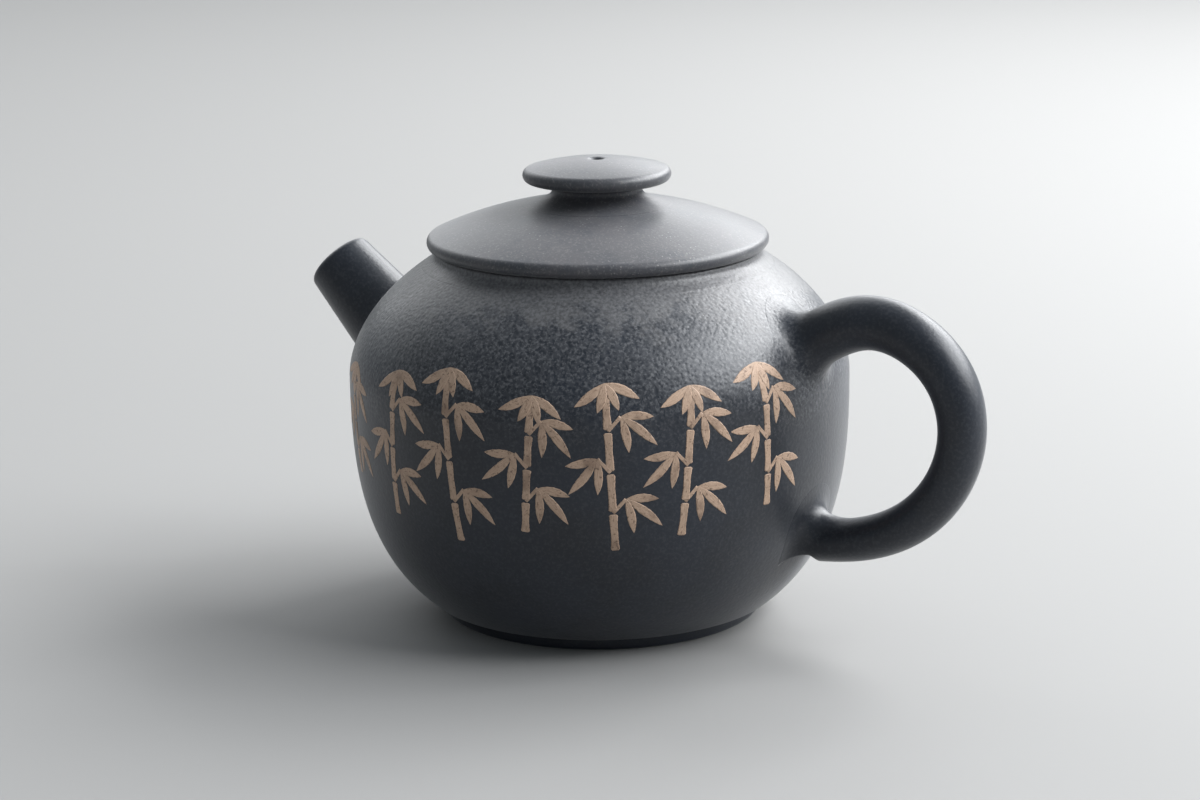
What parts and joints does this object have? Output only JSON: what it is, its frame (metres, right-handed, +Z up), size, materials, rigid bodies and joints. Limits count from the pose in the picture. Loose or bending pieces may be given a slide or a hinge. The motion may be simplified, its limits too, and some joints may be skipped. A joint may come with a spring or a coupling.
{
  "type": "teapot",
  "caption": "Small unglazed clay teapot with a straight spout, ear handle, flat domed lid with a disc knob, and inlaid bamboo on one side.",
  "frame": {"origin": "centre of the foot ring's underside, on the table", "axes": "+Z up along the pot's own axis, +X towards the handle, -X towards the spout, inlaid side facing -Y"},
  "size_m": [0.1334, 0.088, 0.0804],
  "materials": {
    "dark_clay": "unglazed, burnished satin, blue-black with a paler bloom on the shoulder",
    "lid_clay": "unglazed, burnished satin, slate grey with fine sand",
    "inlay_clay": "unglazed, matt, buff with dark specks"
  },
  "bodies": {
    "pot": {"body_wall": "dark_clay", "foot_ring": "dark_clay", "base_disc": "dark_clay", "neck_ring": "dark_clay", "spout": "dark_clay", "strainer": "dark_clay", "handle": "dark_clay", "inlay_bamboo_1": "inlay_clay", "inlay_bamboo_2": "inlay_clay", "inlay_bamboo_3": "inlay_clay", "inlay_bamboo_4": "inlay_clay", "inlay_bamboo_5": "inlay_clay", "inlay_bamboo_6": "inlay_clay", "inlay_bamboo_7": "inlay_clay"},
    "lid": {"lid_plate": "lid_clay", "lid_flange": "lid_clay", "lid_knob": "lid_clay"}
  },
  "joints": [
    {"name": "lid_lift", "type": "slide", "parent": "pot", "child": "lid", "axis": [0, 0, 1], "range_m": [0, 0.06]}
  ]
}
